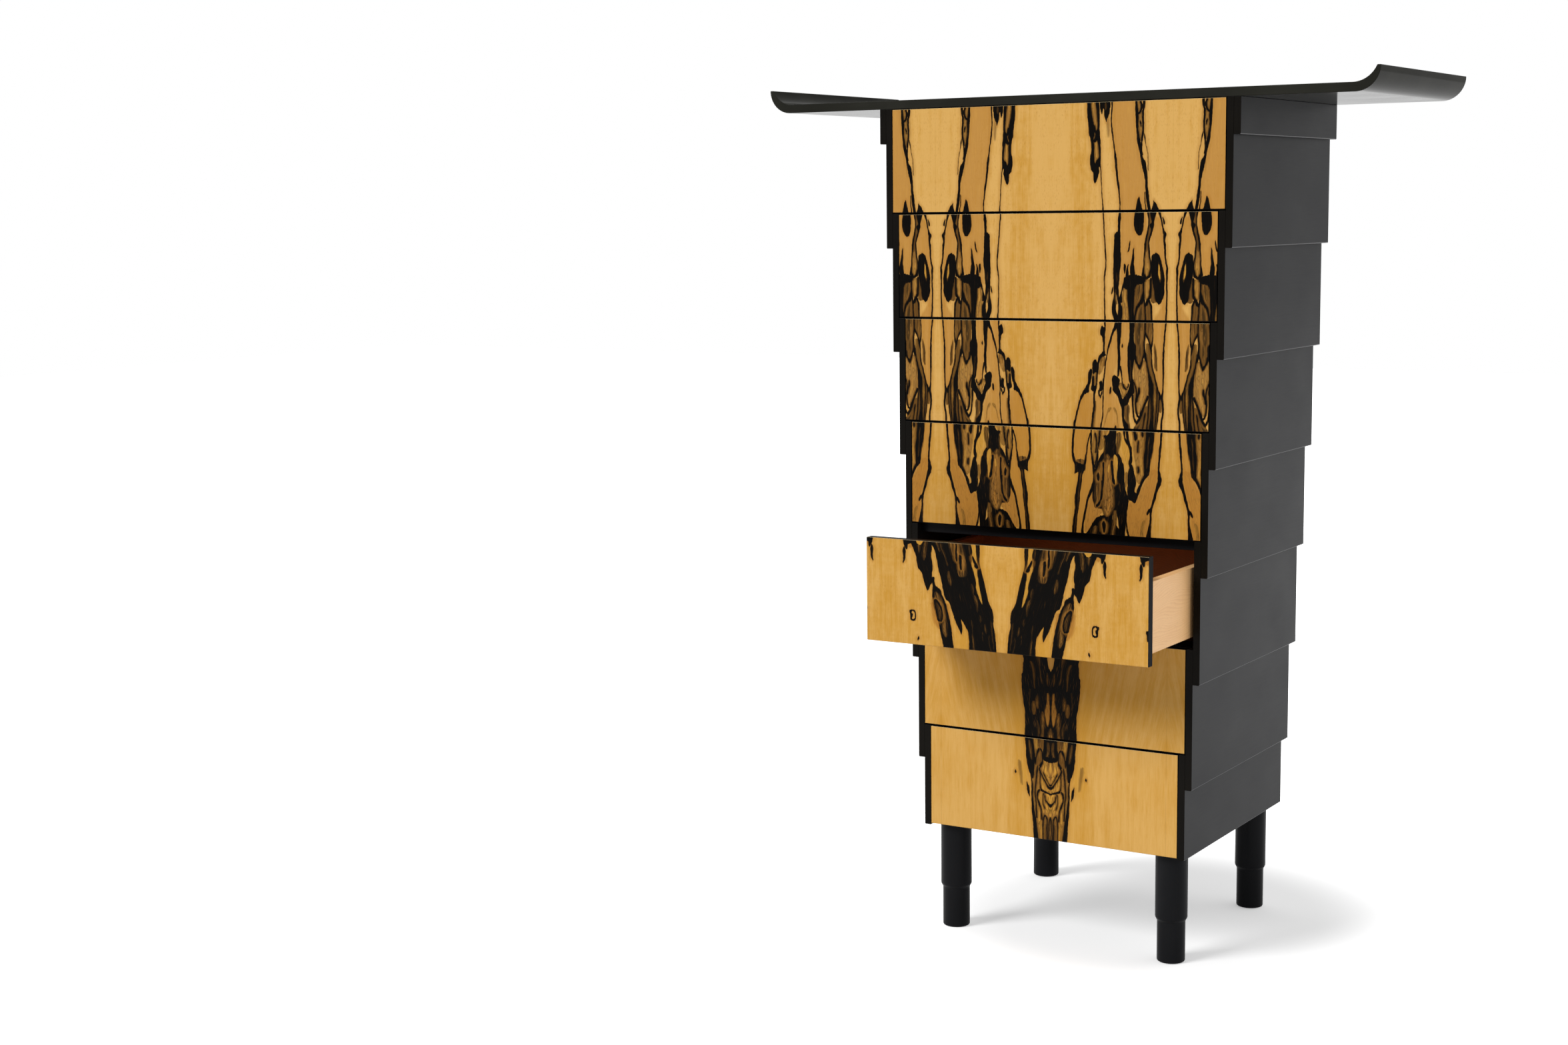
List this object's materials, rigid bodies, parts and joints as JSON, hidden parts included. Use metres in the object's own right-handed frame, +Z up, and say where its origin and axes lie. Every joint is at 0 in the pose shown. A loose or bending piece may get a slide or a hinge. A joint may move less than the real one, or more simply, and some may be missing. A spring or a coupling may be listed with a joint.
{
  "type": "chest of drawers",
  "caption": "Tall chest of drawers: lapped-board sides step inwards to the floor, inset handleless drawers slide out, a thin top has upturned ends, turned legs carry the case.",
  "frame": {"origin": "on the floor, under the middle of the case", "axes": "+Z up, +X to the viewer's right, the drawer fronts face -Y"},
  "size_m": [1.19, 0.685, 1.5995],
  "materials": {
    "front_veneer": "book-matched golden spalted veneer, clear satin lacquer",
    "case_lacquer": "satin black lacquer",
    "top_lacquer": "satin black lacquer",
    "leg_lacquer": "satin black lacquer",
    "drawer_box_wood": "pale hardwood, clear satin",
    "drawer_panel_wood": "red-brown plywood, clear satin",
    "runner_steel": "dark zinc",
    "bolt_steel": "zinc plated"
  },
  "bodies": {
    "case": {"back_left_leg": "leg_lacquer", "back_panel": "case_lacquer", "back_right_leg": "leg_lacquer", "bottom_board": "case_lacquer", "cabinet_runners": "runner_steel", "front_left_leg": "leg_lacquer", "front_right_leg": "leg_lacquer", "left_board_1": "case_lacquer", "left_board_2": "case_lacquer", "left_board_3": "case_lacquer", "left_board_4": "case_lacquer", "left_board_5": "case_lacquer", "left_board_6": "case_lacquer", "left_board_7": "case_lacquer", "left_board_8": "case_lacquer", "leg_bolts": "bolt_steel", "rail_1": "case_lacquer", "rail_2": "case_lacquer", "rail_3": "case_lacquer", "rail_4": "case_lacquer", "rail_5": "case_lacquer", "rail_6": "case_lacquer", "right_board_1": "case_lacquer", "right_board_2": "case_lacquer", "right_board_3": "case_lacquer", "right_board_4": "case_lacquer", "right_board_5": "case_lacquer", "right_board_6": "case_lacquer", "right_board_7": "case_lacquer", "right_board_8": "case_lacquer", "top_board": "top_lacquer", "top_rail": "case_lacquer"},
    "drawer_1": {"drawer_1_bottom": "drawer_panel_wood", "drawer_1_box": "drawer_box_wood", "drawer_1_front": "front_veneer", "drawer_1_runners": "runner_steel"},
    "drawer_2": {"drawer_2_bottom": "drawer_panel_wood", "drawer_2_box": "drawer_box_wood", "drawer_2_front": "front_veneer", "drawer_2_runners": "runner_steel"},
    "drawer_3": {"drawer_3_bottom": "drawer_panel_wood", "drawer_3_box": "drawer_box_wood", "drawer_3_front": "front_veneer", "drawer_3_runners": "runner_steel"},
    "drawer_4": {"drawer_4_bottom": "drawer_panel_wood", "drawer_4_box": "drawer_box_wood", "drawer_4_front": "front_veneer", "drawer_4_runners": "runner_steel"},
    "drawer_5": {"drawer_5_bottom": "drawer_panel_wood", "drawer_5_box": "drawer_box_wood", "drawer_5_front": "front_veneer", "drawer_5_runners": "runner_steel"},
    "drawer_6": {"drawer_6_bottom": "drawer_panel_wood", "drawer_6_box": "drawer_box_wood", "drawer_6_front": "front_veneer", "drawer_6_runners": "runner_steel"},
    "drawer_7": {"drawer_7_bottom": "drawer_panel_wood", "drawer_7_box": "drawer_box_wood", "drawer_7_front": "front_veneer", "drawer_7_runners": "runner_steel"}
  },
  "joints": [
    {"name": "drawer_1_slide", "type": "slide", "parent": "case", "child": "drawer_1", "axis": [0, -1, 0], "range_m": [0, 0.3]},
    {"name": "drawer_2_slide", "type": "slide", "parent": "case", "child": "drawer_2", "axis": [0, -1, 0], "range_m": [0, 0.3]},
    {"name": "drawer_3_slide", "type": "slide", "parent": "case", "child": "drawer_3", "axis": [0, -1, 0], "range_m": [0, 0.3]},
    {"name": "drawer_4_slide", "type": "slide", "parent": "case", "child": "drawer_4", "axis": [0, -1, 0], "range_m": [0, 0.3]},
    {"name": "drawer_5_slide", "type": "slide", "parent": "case", "child": "drawer_5", "axis": [0, -1, 0], "range_m": [-0.195, 0.105]},
    {"name": "drawer_6_slide", "type": "slide", "parent": "case", "child": "drawer_6", "axis": [0, -1, 0], "range_m": [0, 0.3]},
    {"name": "drawer_7_slide", "type": "slide", "parent": "case", "child": "drawer_7", "axis": [0, -1, 0], "range_m": [0, 0.3]}
  ]
}
